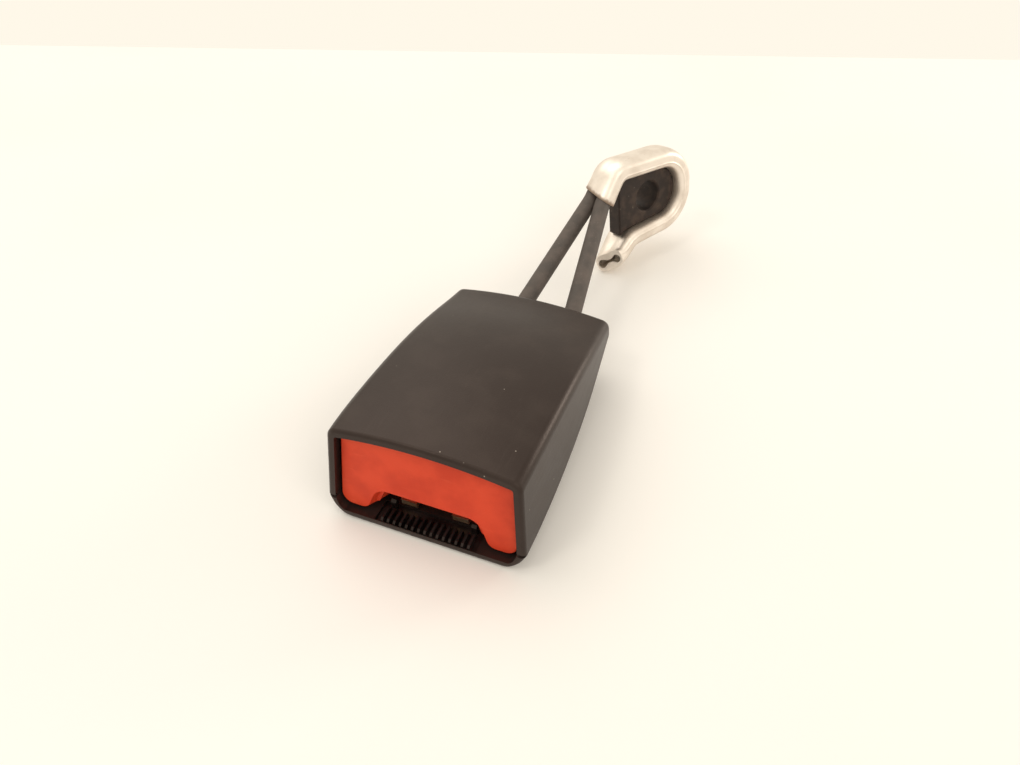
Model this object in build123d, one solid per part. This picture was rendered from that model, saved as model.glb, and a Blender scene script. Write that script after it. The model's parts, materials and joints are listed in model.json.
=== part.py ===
from build123d import *
import os
from math import acos, atan2, cos, radians, sin, tan

# Seat belt buckle on a wire rope, lying on its underside. Millimetres, +Z up, +Y from the
# mouth towards the anchor end. It is built about the middle of the mouth's lower edge and
# moved at the end, so that the origin is under the middle of the whole part.

# ---------------------------------------------------------------- housing
front_width = 60.0
rear_width = 54.2
side_bulge = 1.3
front_height = 33.4
rear_top = 24.0
top_bulge = 3.0
rear_floor = 9.9
level_length = 21.0
housing_length = 86.0
front_lean = 7.8
side_draft = 4.9
lower_draft = 9.0
crown_slope = 9.0
wall = 2.5
rear_bow = 3.1
rear_round = 2.6
rim_round = 1.3
top_corner = 3.4
bottom_corner = 4.4
parting_front = 6.4
parting_rise = 1.7
parting_gap = 0.3
parting_notch = 1.1
notch_length = 3.0
outlet_width = 36.0
outlet_height = 7.6
outlet_level = 16.6

# ---------------------------------------------------------------- button
button_recess = 2.3
button_clearance = 0.6
button_depth = 13.0
button_wall = 2.0
arch_width = 30.6
arch_height = 11.6
arch_foot_width = 39.8
arch_round = 2.2

# ---------------------------------------------------------------- tongue guide
rib_count = 15
rib_pitch = 1.9
rib_width = 0.7
rib_length = 4.6
rib_top = 3.2
guide_floor = 1.3
guide_base = 0.6
guide_front = 0.8
guide_depth = 7.2
guide_side = 1.3
guide_clearance = 0.1
nub_width = 1.6
nub_spacing = 25.0
nub_depth = 1.4
nub_height = 3.4

# ---------------------------------------------------------------- mechanism, in its own tilted plane
mechanism_tilt = 6.5
mechanism_start = 8.0
mechanism_level = 3.0
sheet = 2.2
lug_length = 6.0
lug_width = 5.0
lug_spacing = 16.0
frame_width = 31.0
frame_end = 70.0
frame_wall_start = 16.5
frame_wall_end = 56.0
frame_wall_low = 9.0
frame_wall_high = 16.8
frame_bend = 2.6
latch_pivot_s = 46.0
latch_pivot_h = 12.0
latch_width = 12.0
latch_sheet = 2.4
latch_level = 9.8
latch_hub = 3.6
shoulder_width = 18.0
shoulder_start = 31.0
shoulder_end = 36.0
pin_radius = 2.0
pin_clearance = 0.05
pin_head = 1.4
pin_head_radius = 3.2
clip_thickness = 0.8
tooth_start = 17.5
tooth_length = 4.0
tooth_ramp = 2.6
tooth_clearance = 0.5
ear_start = 24.0
ear_length = 3.5
ear_reach = 11.4
tooth_level = 2.9
ejector_start = 9.0
ejector_reach = 15.0
ejector_width = 22.0
ejector_fork = 13.0
ejector_height = 3.2
ejector_bridge = 6.0
block_width = 16.4
block_height = 6.3
slide_clearance = 0.2
ride_clearance = 0.1
spring_level = 5.2
wire_sides = 6
spigot_radius = 1.3
spigot_length = 3.5
ejector_spring_radius = 2.0
ejector_spring_wire = 0.8
ejector_spring_turns = 7
seat_start = 50.0
seat_thickness = 2.0
seat_height = 8.7
tab_low = 3.6
tab_high = 7.6
tab_clearance = 0.1
latch_spring_radius = 2.9
latch_spring_wire = 0.7
latch_spring_turns = 4.75
latch_spring_start = 6.9
latch_spring_pitch = 0.8
latch_spring_lean = 10.0
latch_spring_leg = 12.4
button_spring_radius = 2.0
button_spring_wire = 0.7
button_spring_turns = 6
button_spring_x = 21.7
button_spring_level = 9.0
button_spring_end = 24.0
post_depth = 2.5
post_width = 6.0
post_top = 12.4
yoke_sheet = 2.2
yoke_gap = 17.2
yoke_start = 8.0
yoke_low = 14.2
yoke_high = 18.9
yoke_end = 32.0
ramp_length = 6.8
shelf_depth = 1.2

# ---------------------------------------------------------------- rope, sheaths and anchor end
rope_radius = 2.2
rope_clearance = 0.05
sheath_radius = 2.95
saddle_s = 64.0
saddle_radius = 9.5
saddle_flange = 1.0
saddle_lip = 0.3
saddle_tail = 6.0
saddle_run = 8.5
rivet_radius = 2.5
rivet_clearance = 0.05
rivet_head = 1.4
rivet_head_radius = 4.4
leg_spacing = 18.2
leg_shift = 3.8
outlet_y = 88.0
outlet_bend = 20.0
sheath_inside = 5.0
lobe_radius = 3.9
lobe_spacing = 6.0
rope_recess = 3.0
anchor_x = 20.0
anchor_y = 163.3
anchor_z = 25.4
anchor_yaw = 58.9
anchor_tilt = 8.5
plate_thickness = 7.0
bolt_hole_radius = 5.9
plate_gap = 0.2
mouth_bend = 7.5
mouth_run = 3.2
elbow_radius = 6.0
loop_radius = 12.5
tail_end = (-17.8, -21.7)
tail_elbow = (-10.6, -14.2)
lower_turn = (17.9, -12.9)
upper_turn = (17.9, 12.6)
mouth_elbow = (-16.5, 14.9)
mouth = (-22.1, 7.5)
plate_corner = 1.0
plate_bevel = 0.5
support_stations = (12.0, 36.0, 58.0)
support_thickness = 1.6
support_width = 28.0
support_gap = 0.05


def share_at(y):
    """Share of the housing's length, held at the rear end's value past it."""
    return min(y / housing_length, 1.0)


def half_width(y):
    share = share_at(y)
    straight = (front_width * (1 - share) + rear_width * share) / 2
    return straight + 4 * side_bulge * share * (1 - share)


def top_height(y):
    share = share_at(y)
    straight = front_height * (1 - share) + rear_top * share
    return straight + 4 * top_bulge * share * (1 - share)


def floor_height(y):
    run = max(0.0, (share_at(y) * housing_length - level_length) / (housing_length - level_length))
    return rear_floor * run**1.5


def parting_height(y):
    return floor_height(y) + parting_front + parting_rise * share_at(y)


def lean_at(y):
    return front_lean * (1 - share_at(y))


def station_plane(y):
    lean = radians(lean_at(y))
    return Plane(origin=(0, y, 0), x_dir=(1, 0, 0), z_dir=(0, -cos(lean), sin(lean)))


def on_circle(centre, radius, angle):
    return (centre[0] + radius * cos(radians(angle)), centre[1] + radius * sin(radians(angle)))


def mirrored(point):
    return (-point[0], point[1])


def housing_outline(y, inset):
    """Closed cross-section of the housing at one station, drawn in from its outside by inset.

    Each half is a flat bottom, a corner arc, a lower side that leans in below the parting
    line, an upper side with draft, a top corner arc and half of the crown. All are tangent.
    """
    wide = half_width(y) - inset
    low = floor_height(y) + inset
    top = top_height(y) - inset
    parting = parting_height(y)
    upper_radius = max(top_corner - inset, 0.8)
    lower_radius = max(bottom_corner - inset, 0.8)
    draft = radians(side_draft)
    slope = tan(radians(crown_slope / 2))
    side_line = wide * cos(draft) + parting * sin(draft) - upper_radius
    crown_line = top - upper_radius * (cos(radians(crown_slope)) + sin(radians(crown_slope)) * slope)
    x = (side_line - crown_line * sin(draft)) / (cos(draft) - slope * sin(draft))
    upper = (x, crown_line - x * slope)
    lean = radians(lower_draft)
    z = low + lower_radius
    lower = (wide - (lower_radius + (parting - z) * sin(lean)) / cos(lean), z)
    foot = on_circle(lower, lower_radius, -90)
    foot_middle = on_circle(lower, lower_radius, -(90 + lower_draft) / 2)
    side_low = on_circle(lower, lower_radius, -lower_draft)
    side_high = on_circle(upper, upper_radius, side_draft)
    shoulder_middle = on_circle(upper, upper_radius, (90 + side_draft - crown_slope) / 2)
    shoulder = on_circle(upper, upper_radius, 90 - crown_slope)
    seam = (wide, parting)
    right = [
        ThreePointArc(foot, foot_middle, side_low),
        Line(side_low, seam),
        Line(seam, side_high),
        ThreePointArc(side_high, shoulder_middle, shoulder),
    ]
    left = [
        ThreePointArc(mirrored(shoulder), mirrored(shoulder_middle), mirrored(side_high)),
        Line(mirrored(side_high), mirrored(seam)),
        Line(mirrored(seam), mirrored(side_low)),
        ThreePointArc(mirrored(side_low), mirrored(foot_middle), mirrored(foot)),
    ]
    bottom = Line(mirrored(foot), foot)
    roof = ThreePointArc(shoulder, (0, top), mirrored(shoulder))
    return make_face([bottom, *right, roof, *left])


def housing_loft(stations, inset):
    sections = [station_plane(y) * housing_outline(y, inset) for y in stations]
    return loft(sections)


def behind_arc(inset):
    """Solid behind the bowed rear face, drawn forward by inset."""
    reach = front_width
    middle = housing_length + rear_bow - inset
    side = middle - rear_bow * (reach / (rear_width / 2)) ** 2
    arc = ThreePointArc((-reach, side), (0, middle), (reach, side))
    rest = Polyline((reach, side), (reach, middle + reach), (-reach, middle + reach), (-reach, side))
    return extrude(make_face(arc + rest), amount=2 * front_height, both=True)


def above_parting(offset):
    """Everything above the stepped parting line, moved up by offset."""
    stops = [-20, 0, level_length, housing_length * 0.5, housing_length * 0.75, housing_length + 12]
    line = Spline(*[(y, parting_height(max(y, 0)) + offset) for y in stops])
    first, last = line @ 0, line @ 1
    cap = 3 * front_height
    rest = Polyline(last, (last.X, cap), (first.X, cap), first)
    profile = Plane.YZ * make_face(line + rest)
    return extrude(profile, amount=front_width, both=True)


def side_solid(outline, width, middle=0.0):
    """Solid of a closed outline seen from the side, centred on middle across the part."""
    face = Plane.YZ.offset(middle) * make_face(outline)
    return extrude(face, amount=width / 2, both=True)


def side_shape(points, width, middle=0.0):
    return side_solid(Polyline(*points, close=True), width, middle)


def across(radius, first, last, y, z):
    """Round bar along X from first to last, about the point (y, z) seen from the side."""
    circle = Plane.YZ.offset(first) * Pos(y, z) * Circle(radius)
    return extrude(circle, amount=last - first)


def both_sides(piece):
    return [piece, mirror(piece, about=Plane.YZ)]


def coil(place, radius, wire, length, turns):
    """Compression spring from the origin of place along its Z, over its whole length."""
    path = Helix(pitch=(length - wire) / turns, height=length - wire, radius=radius)
    path = place * Pos(0, 0, wire / 2) * path
    section = Plane(origin=path @ 0, z_dir=path % 0) * RegularPolygon(wire / 2, wire_sides)
    return sweep(section, path=path, is_frenet=True)


tilt = radians(mechanism_tilt)
mechanism = Plane(
    origin=(0, mechanism_start, mechanism_level), x_dir=(1, 0, 0), z_dir=(0, -sin(tilt), cos(tilt))
)
pieces = {}

# ---------------------------------------------------------------- covers
rear_station = housing_length + 10
outer = housing_loft([0, 20, 42, 64, 78, rear_station], 0) - behind_arc(0)
outer = fillet(outer.faces().sort_by(Axis.Y)[-1].edges(), rear_round)
outer = fillet(outer.faces().sort_by(Axis.Y)[0].edges(), rim_round)
ground = Pos(0, housing_length / 2, -front_height / 2) * Box(2 * front_width, 2 * housing_length, front_height)
outer -= ground
cavity = housing_loft([-4, 20, 42, 64, 78, rear_station], wall) - behind_arc(wall)
outlet = Plane.XZ.offset(-housing_length / 2) * Pos(0, outlet_level) * SlotOverall(outlet_width, outlet_height)
outlet = extrude(outlet, amount=-housing_length)
notch = [
    (-1, parting_front - parting_notch),
    (notch_length, parting_front),
    (-1, parting_front + parting_notch),
]
shell = outer - cavity - outlet - side_shape(notch, 2 * front_width)

guide_width = rib_count * rib_pitch + 2 * guide_side
pocket = Pos(0, guide_front + guide_depth / 2, guide_base + rib_top / 2) * Box(
    guide_width + 2 * guide_clearance, guide_depth + 2 * guide_clearance, rib_top
)
half_support = support_thickness / 2
under_frame = side_shape(
    [(0, -support_gap), (frame_end, -support_gap), (frame_end, -front_height), (0, -front_height)],
    support_width,
)
supports = [
    Pos(0, station, 0) * Box(support_width, support_thickness, 2 * front_height) & under_frame
    for station in support_stations
]
post = Pos(
    button_spring_x, button_spring_end + post_depth / 2, post_top / 2
) * Box(post_width, post_depth, post_top)
post_spigot = Plane.XZ.offset(-button_spring_end) * Pos(button_spring_x, button_spring_level)
post += extrude(post_spigot * Circle(spigot_radius), amount=spigot_length)
lower_cover = shell - above_parting(-parting_gap / 2) - pocket
for piece in supports:
    lower_cover += mechanism * piece & outer
for piece in both_sides(post):
    lower_cover += piece & outer
pieces["lower_cover"] = lower_cover
pieces["upper_cover"] = shell & above_parting(parting_gap / 2)

# ---------------------------------------------------------------- tongue guide
guide = Pos(0, guide_front + guide_depth / 2, (guide_base + guide_floor) / 2) * Box(
    guide_width, guide_depth, guide_floor - guide_base
)
rib = [
    (guide_front, guide_base),
    (guide_front, rib_top - rib_width),
    (guide_front + rib_width, rib_top),
    (guide_front + rib_length, rib_top),
    (guide_front + rib_length + rib_width, guide_base),
]
for index in range(rib_count):
    guide += side_shape(rib, rib_width, (index - (rib_count - 1) / 2) * rib_pitch)
nub_end = guide_front + guide_depth
nub = [
    (nub_end - nub_depth, guide_base),
    (nub_end - nub_depth, guide_floor + nub_height - nub_width / 2),
    (nub_end - nub_depth / 2, guide_floor + nub_height),
    (nub_end, guide_floor + nub_height - nub_width / 2),
    (nub_end, guide_base),
]
for piece in both_sides(side_shape(nub, nub_width, nub_spacing / 2)):
    guide += piece
pieces["tongue_guide"] = guide

# ---------------------------------------------------------------- push button
mouth_plane = station_plane(0)


def arch_outline(grow):
    """Opening under the button that the tongue passes through, grown on every side."""
    top = arch_height + grow
    corners = [
        (-arch_foot_width / 2 - grow, 0),
        (arch_foot_width / 2 + grow, 0),
        (arch_width / 2 + grow / 2, top),
        (-arch_width / 2 - grow / 2, top),
    ]
    arch = make_face(Polyline(*corners, close=True))
    upper = arch.vertices().group_by(Axis.Y)[-1]
    return fillet(upper, arch_round + grow)


def button_prism(inset, grow, start, end):
    """Button outline less its arch, carried straight back from start to end behind the mouth."""
    face = mouth_plane * (housing_outline(0, inset) - arch_outline(grow))
    return Pos(0, start, 0) * extrude(face, amount=end - start, dir=(0, 1, 0))


button_inset = wall + button_clearance
recess = button_recess
button = button_prism(button_inset, 0, recess, recess + button_depth)
button -= button_prism(button_inset + button_wall, button_wall, recess + button_wall, recess + 2 * button_depth)
arm_reach = yoke_gap / 2 + yoke_sheet
shelf = [
    (recess + button_wall, arch_height + button_wall / 2),
    (recess + button_depth, arch_height + button_wall / 2),
    (recess + button_depth, yoke_low),
    (yoke_start, yoke_low),
    (yoke_start, yoke_high),
    (recess + button_wall, yoke_high),
]
button += side_shape(shelf, 2 * arm_reach)
pieces["push_button"] = button

# ---------------------------------------------------------------- release yoke
arm = [
    (yoke_start, yoke_low),
    (yoke_end, yoke_low),
    (yoke_end - ramp_length, yoke_high),
    (yoke_start, yoke_high),
]
yoke = side_shape(arm, 2 * arm_reach)
yoke -= Pos(0, yoke_start + yoke_sheet + yoke_end, yoke_low) * Box(yoke_gap, 2 * yoke_end, front_height)
pieces["release_yoke"] = yoke

# ---------------------------------------------------------------- buckle frame
half_frame = frame_width / 2
channel = Pos(0, frame_wall_high / 2) * Rectangle(frame_width, frame_wall_high)
channel = fillet(channel.vertices().group_by(Axis.Y)[0], frame_bend)
inside = Pos(0, sheet + frame_wall_high / 2) * Rectangle(frame_width - 2 * sheet, frame_wall_high)
inside = fillet(inside.vertices().group_by(Axis.Y)[0], frame_bend - sheet)
channel = extrude(Plane.XZ * (channel - inside), amount=-frame_end)
side_view = [
    (-1, -1),
    (-1, sheet),
    (frame_wall_start, sheet),
    (frame_wall_start, frame_wall_low),
    (frame_wall_start + 2 * (frame_wall_high - frame_wall_low), frame_wall_high),
    (frame_wall_end - 4, frame_wall_high),
    (frame_wall_end, frame_wall_high - 4),
    (frame_wall_end, sheet),
    (frame_end + 1, sheet),
    (frame_end + 1, -1),
]
plan = Pos(0, (lug_length + frame_end) / 2) * Rectangle(frame_width, frame_end - lug_length)
plan = fillet(plan.vertices(), frame_bend)
for side in (-1, 1):
    plan += Pos(side * lug_spacing / 2, lug_length / 2 + 1) * Rectangle(lug_width, lug_length + 2)
tooth_hole = Pos(0, tooth_start + tooth_length / 2) * Rectangle(
    latch_width + 2 * tooth_clearance, tooth_length + 4 * tooth_clearance
)
plan -= tooth_hole
plan -= Pos(0, saddle_s) * Circle(rivet_radius + rivet_clearance)
countersink = Pos(0, saddle_s, sheet / 2) * Cone(
    rivet_head_radius + rivet_clearance, rivet_head_radius + rivet_clearance - sheet, sheet
)
buckle_frame = channel & side_shape(side_view, 2 * frame_width) & extrude(plan, amount=front_height)
hole = pin_radius + pin_clearance
buckle_frame -= across(hole, -frame_width, frame_width, latch_pivot_s, latch_pivot_h)
tab_slot = Pos(0, seat_start + seat_thickness / 2, (tab_low + tab_high) / 2) * Box(
    2 * frame_width, seat_thickness + 2 * tab_clearance, tab_high - tab_low + 2 * tab_clearance
)
buckle_frame -= tab_slot
buckle_frame -= countersink
pieces["buckle_frame"] = mechanism * buckle_frame

# ---------------------------------------------------------------- latch
level = latch_level
latch_top = level + latch_sheet
tooth_end = tooth_start + tooth_length
blade = [
    (tooth_start, tooth_level + tooth_ramp),
    (tooth_start + tooth_ramp / 2, tooth_level),
    (tooth_end, tooth_level),
    (tooth_end, level),
    (latch_pivot_s, level),
    (latch_pivot_s, latch_top),
    (tooth_start + 1, latch_top),
    (tooth_start, latch_top - 1),
]
latch = side_shape(blade, latch_width)
latch += across(latch_hub, -latch_width / 2, latch_width / 2, latch_pivot_s, latch_pivot_h)
cross_bars = ((ear_start, ear_start + ear_length, 2 * ear_reach), (shoulder_start, shoulder_end, shoulder_width))
for first, last, width in cross_bars:
    latch += Pos(0, (first + last) / 2, level + latch_sheet / 2) * Box(width, last - first, latch_sheet)
latch -= across(hole, -latch_width, latch_width, latch_pivot_s, latch_pivot_h)
pieces["latch_plate"] = mechanism * latch

clip_start = half_frame + pin_clearance
clip_end = clip_start + clip_thickness
pin = across(pin_radius, -half_frame, clip_end + 2 * clip_thickness, latch_pivot_s, latch_pivot_h)
pin += across(pin_head_radius, -half_frame - pin_head, -half_frame, latch_pivot_s, latch_pivot_h)
groove_radius = pin_radius - clip_thickness / 2
groove = across(2 * pin_radius, clip_start, clip_end, latch_pivot_s, latch_pivot_h)
groove -= across(groove_radius, clip_start, clip_end, latch_pivot_s, latch_pivot_h)
pieces["latch_pin"] = mechanism * (pin - groove)

clip = Circle(pin_head_radius) - Circle(groove_radius + pin_clearance)
clip -= Pos(pin_head_radius, 0) * Rectangle(2 * pin_head_radius, 2 * groove_radius - clip_thickness)
clip = Plane.YZ.offset(clip_start + pin_clearance) * Pos(latch_pivot_s, latch_pivot_h) * clip
pieces["pin_clip"] = mechanism * extrude(clip, amount=clip_thickness - 2 * pin_clearance)

# ---------------------------------------------------------------- latch spring
winding = Helix(
    pitch=latch_spring_pitch,
    height=latch_spring_pitch * latch_spring_turns,
    radius=latch_spring_radius,
    lefthand=True,
)
place = Plane.YZ.offset(latch_spring_start) * Pos(latch_pivot_s, latch_pivot_h)
winding = place * Rot(0, 0, 90 + latch_spring_lean) * winding
wire_section = Plane(origin=winding @ 0, z_dir=winding % 0) * Circle(latch_spring_wire / 2)
latch_spring = sweep(wire_section, path=winding, is_frenet=True)
latch_spring += extrude(wire_section, amount=-latch_spring_leg)
wall_end = winding @ 1
latch_spring += Pos(wall_end) * Sphere(latch_spring_wire / 2)
latch_spring += across(latch_spring_wire / 2, wall_end.X, half_frame, wall_end.Y, wall_end.Z)
wire_hole = across(
    latch_spring_wire / 2 + pin_clearance, half_frame - 2 * sheet, frame_width, wall_end.Y, wall_end.Z
)
pieces["latch_spring"] = mechanism * latch_spring
pieces["buckle_frame"] -= mechanism * wire_hole

# ---------------------------------------------------------------- ejector
fork_end = ejector_start + ejector_reach
bridge_end = fork_end + ejector_bridge
low = sheet + ride_clearance
ejector_face = Pos(0, (ejector_start + bridge_end) / 2) * Rectangle(ejector_width, bridge_end - ejector_start)
wings = frame_width - 2 * sheet - 2 * slide_clearance
ejector_face += Pos(0, (fork_end + bridge_end) / 2) * Rectangle(wings, ejector_bridge)
ejector_face -= Pos(0, fork_end - ejector_reach) * Rectangle(ejector_fork, 2 * ejector_reach)
ejector = Pos(0, 0, low) * extrude(ejector_face, amount=ejector_height)
block = [
    (fork_end, low),
    (fork_end, low + block_height - 1),
    (fork_end + 1, low + block_height),
    (bridge_end, low + block_height),
    (bridge_end, low),
]
ejector += side_shape(block, block_width)
ejector_spigot = Plane.XZ.offset(-bridge_end) * Pos(0, spring_level) * Circle(spigot_radius)
ejector += extrude(ejector_spigot, amount=-spigot_length)
pieces["ejector"] = mechanism * ejector

spring_place = Plane(origin=(0, bridge_end, spring_level), x_dir=(1, 0, 0), z_dir=(0, 1, 0))
spring_length = seat_start - bridge_end
ejector_spring = coil(
    spring_place, ejector_spring_radius, ejector_spring_wire, spring_length, ejector_spring_turns
)
pieces["ejector_spring"] = mechanism * ejector_spring

seat_middle = seat_start + seat_thickness / 2
seat = Pos(0, seat_middle, (sheet + seat_height) / 2) * Box(
    frame_width - 2 * sheet - 2 * tab_clearance, seat_thickness, seat_height - sheet
)
seat = fillet(seat.edges().filter_by(Axis.Y).group_by(Axis.Z)[0], frame_bend - sheet + tab_clearance)
seat += Pos(0, seat_middle, (tab_low + tab_high) / 2) * Box(frame_width, seat_thickness, tab_high - tab_low)
seat_spigot = Plane.XZ.offset(-seat_start) * Pos(0, spring_level) * Circle(spigot_radius)
seat += extrude(seat_spigot, amount=spigot_length)
pieces["ejector_seat"] = mechanism * seat

# ---------------------------------------------------------------- button springs
face_lean = tan(radians(front_lean))
pocket_floor = recess + button_wall + (button_spring_level + button_spring_radius + button_spring_wire) * face_lean
for side, name in ((-1, "button_spring_left"), (1, "button_spring_right")):
    spring_place = Plane(
        origin=(side * button_spring_x, pocket_floor, button_spring_level), x_dir=(1, 0, 0), z_dir=(0, 1, 0)
    )
    pieces[name] = coil(
        spring_place,
        button_spring_radius,
        button_spring_wire,
        button_spring_end - pocket_floor,
        button_spring_turns,
    )

# ---------------------------------------------------------------- cable saddle and its rivet
groove_size = rope_radius + rope_clearance
rope_level = sheet + saddle_flange + groove_size
saddle_top = rope_level + groove_size + saddle_flange
spool = Plane.XZ * Pos((rivet_radius + rivet_clearance + saddle_radius + saddle_lip) / 2, (sheet + saddle_top) / 2)
spool *= Rectangle(saddle_radius + saddle_lip - rivet_radius - rivet_clearance, saddle_top - sheet)
spool -= Plane.XZ * Pos(saddle_radius, rope_level) * Circle(groove_size)
saddle = Pos(0, saddle_s, 0) * revolve(spool, Axis.Z)
saddle -= Pos(0, saddle_s + saddle_tail + saddle_radius, rope_level) * Box(
    4 * saddle_radius, 2 * saddle_radius, 4 * saddle_radius
)
pieces["cable_saddle"] = mechanism * saddle

rivet = [
    (0, 0),
    (rivet_head_radius, 0),
    (rivet_radius, rivet_head_radius - rivet_radius),
    (rivet_radius, saddle_top),
    (rivet_head_radius, saddle_top),
    (rivet_head_radius, saddle_top + rivet_head),
    (0, saddle_top + rivet_head),
]
rivet = revolve(Plane.XZ * make_face(Polyline(*rivet, close=True)), Axis.Z)
pieces["saddle_rivet"] = mechanism * Pos(0, saddle_s, 0) * rivet

# ---------------------------------------------------------------- anchor end
yaw = radians(anchor_yaw)
rise = radians(anchor_tilt)
anchor = Plane(
    origin=(anchor_x, anchor_y, anchor_z),
    x_dir=(cos(yaw), sin(yaw), 0),
    z_dir=(sin(yaw) * cos(rise), -cos(yaw) * cos(rise), sin(rise)),
)
entry = (Vector(*mouth) - Vector(*mouth_elbow)).normalized()
bend_corner = Vector(*mouth) + entry * mouth_run
loop_corners = [tail_end, tail_elbow, lower_turn, upper_turn, mouth_elbow, mouth]
loop_radii = [elbow_radius, loop_radius, loop_radius, elbow_radius]
loop = FilletPolyline(*loop_corners, radius=loop_radii)
half_plate = plate_thickness / 2

start = Plane(origin=loop @ 0, z_dir=loop % 0, x_dir=(0, 0, 1))
lobes = Sketch() + [start * Pos(side * lobe_spacing / 2, 0) * Circle(lobe_radius) for side in (-1, 1)]
ferrule = sweep(lobes, path=loop)
for side in (-1, 1):
    ferrule -= sweep(start * Pos(side * lobe_spacing / 2, 0) * Circle(groove_size), path=loop)
pieces["ferrule"] = anchor * Pos(0, 0, -half_plate) * ferrule

plate = make_face(Polyline(tail_elbow, lower_turn, upper_turn, mouth_elbow, close=True))
plate -= trace(loop, 2 * (lobe_radius + plate_gap))
plate = plate.faces().sort_by(SortBy.AREA)[-1]
plate_solid = extrude(plate, amount=-plate_thickness)
plate_solid -= extrude(Circle(bolt_hole_radius), amount=-plate_thickness)
pieces["anchor_plate"] = anchor * plate_solid

# ---------------------------------------------------------------- wire rope and sheaths
def leg_corners(side):
    """Corners of one leg from its cut end in the ferrule to the tangent point on the saddle."""
    lobe = Pos(0, 0, -half_plate + side * lobe_spacing / 2)
    tail = Vector(*tail_end) + (Vector(*tail_elbow) - Vector(*tail_end)).normalized() * rope_recess
    flat = [tail, Vector(*tail_elbow), Vector(*lower_turn), Vector(*upper_turn), Vector(*mouth_elbow), bend_corner]
    corners = [(anchor * lobe * Pos(point)).position for point in flat]
    exit_point = Vector(leg_shift + side * leg_spacing / 2, outlet_y, outlet_level)
    inside_point = mechanism.to_local_coords(exit_point)
    away = Vector(inside_point.X, inside_point.Y - saddle_s)
    turn = atan2(away.Y, away.X) - side * acos(saddle_radius / away.length)
    touch = Vector(saddle_radius * cos(turn), saddle_radius * sin(turn))
    along = (away - touch).normalized()
    touch += Vector(0, saddle_s, rope_level)
    return corners + [exit_point] + [mechanism.from_local_coords(p) for p in (touch + along * saddle_run, touch)]


leg_radii = [*loop_radii, mouth_bend, outlet_bend, outlet_bend]
right, left = leg_corners(1), leg_corners(-1)
front_of_saddle = mechanism.from_local_coords(Vector(0, saddle_s - saddle_radius, rope_level))
route = FilletPolyline(*right, radius=leg_radii)
route += ThreePointArc(right[-1], front_of_saddle, left[-1])
route += FilletPolyline(*reversed(left), radius=list(reversed(leg_radii)))
route = route.wire()
rope_section = Plane(origin=route @ 0, z_dir=route % 0) * Circle(rope_radius)
pieces["wire_rope"] = sweep(rope_section, path=route)
print("rope length", round(route.length, 1))

for name, corners in (("sheath_left", left), ("sheath_right", right)):
    bend, exit_point, inner = corners[5], corners[6], corners[7]
    first = exit_point + (inner - exit_point).normalized() * sheath_inside
    last = bend + (corners[4] - bend).normalized() * mouth_run
    path = FilletPolyline(first, exit_point, bend, last, radius=[outlet_bend, mouth_bend])
    ring = Plane(origin=path @ 0, z_dir=path % 0) * (Circle(sheath_radius) - Circle(groove_size))
    pieces[name] = sweep(ring, path=path)

# ---------------------------------------------------------------- origin and export
mesh_step = 0.1
mesh_turn = 0.3
outermost = [pieces[name] for name in ("lower_cover", "upper_cover", "ferrule", "wire_rope")]
corners = [corner for piece in outermost for corner in piece.tessellate(mesh_step, mesh_turn)[0]]
middle_x = (min(corner.X for corner in corners) + max(corner.X for corner in corners)) / 2
middle_y = (min(corner.Y for corner in corners) + max(corner.Y for corner in corners)) / 2
os.makedirs("parts", exist_ok=True)
for name, piece in pieces.items():
    moved = Pos(-middle_x, -middle_y, 0) * piece
    print(name, moved.is_valid, len(moved.solids()), round(moved.volume))
    export_step(moved, f"parts/{name}.step")
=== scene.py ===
import json
import math

import bmesh
import bpy
import numpy as np
from mathutils import Matrix, Vector


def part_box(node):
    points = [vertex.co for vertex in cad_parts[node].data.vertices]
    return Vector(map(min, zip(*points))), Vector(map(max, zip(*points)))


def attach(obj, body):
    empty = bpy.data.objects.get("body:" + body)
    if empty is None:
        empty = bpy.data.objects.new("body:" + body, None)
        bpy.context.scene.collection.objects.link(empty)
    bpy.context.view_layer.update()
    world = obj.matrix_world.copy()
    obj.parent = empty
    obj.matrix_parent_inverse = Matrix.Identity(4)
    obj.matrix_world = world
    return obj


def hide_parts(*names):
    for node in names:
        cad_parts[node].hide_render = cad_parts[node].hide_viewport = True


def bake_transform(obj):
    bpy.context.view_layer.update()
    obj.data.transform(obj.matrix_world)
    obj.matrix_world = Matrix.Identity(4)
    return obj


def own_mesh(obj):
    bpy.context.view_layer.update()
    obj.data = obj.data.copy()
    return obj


# Seat belt buckle on a wire rope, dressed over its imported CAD. Metres, in the CAD's own frame.

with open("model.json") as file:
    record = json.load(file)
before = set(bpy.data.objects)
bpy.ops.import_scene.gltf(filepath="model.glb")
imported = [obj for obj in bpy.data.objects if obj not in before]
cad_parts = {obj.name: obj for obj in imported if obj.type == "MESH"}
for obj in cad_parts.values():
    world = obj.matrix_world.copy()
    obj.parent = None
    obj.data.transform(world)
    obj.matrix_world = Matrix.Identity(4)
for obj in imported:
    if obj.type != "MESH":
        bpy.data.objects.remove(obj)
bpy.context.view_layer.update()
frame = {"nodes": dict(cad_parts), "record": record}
nodes = frame["nodes"]

mm = 0.001
bodyOf = {node: body for body, members in frame["record"]["behaviour"]["bodies"].items() for node in members}

# The middle of the mouth's lower edge: the housing is even about it, left and right.
coverLow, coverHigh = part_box("lower_cover")
mouthPlace = {"aheadOfFront": 0.176}
mouthPoint = Vector(((coverLow.x + coverHigh.x) / 2, coverLow.y - mouthPlace["aheadOfFront"] * mm, 0))
skin = {"sharpAngle": 32, "springSharpAngle": 60, "weld": 2e-6}


def placed(spots):
    # millimetres from mouthPoint become metres in the frame
    return np.asarray(spots) * mm + np.array(mouthPoint)


# One number or colour inside a material is a Value, and a Finish is the material it grows in.

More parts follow.
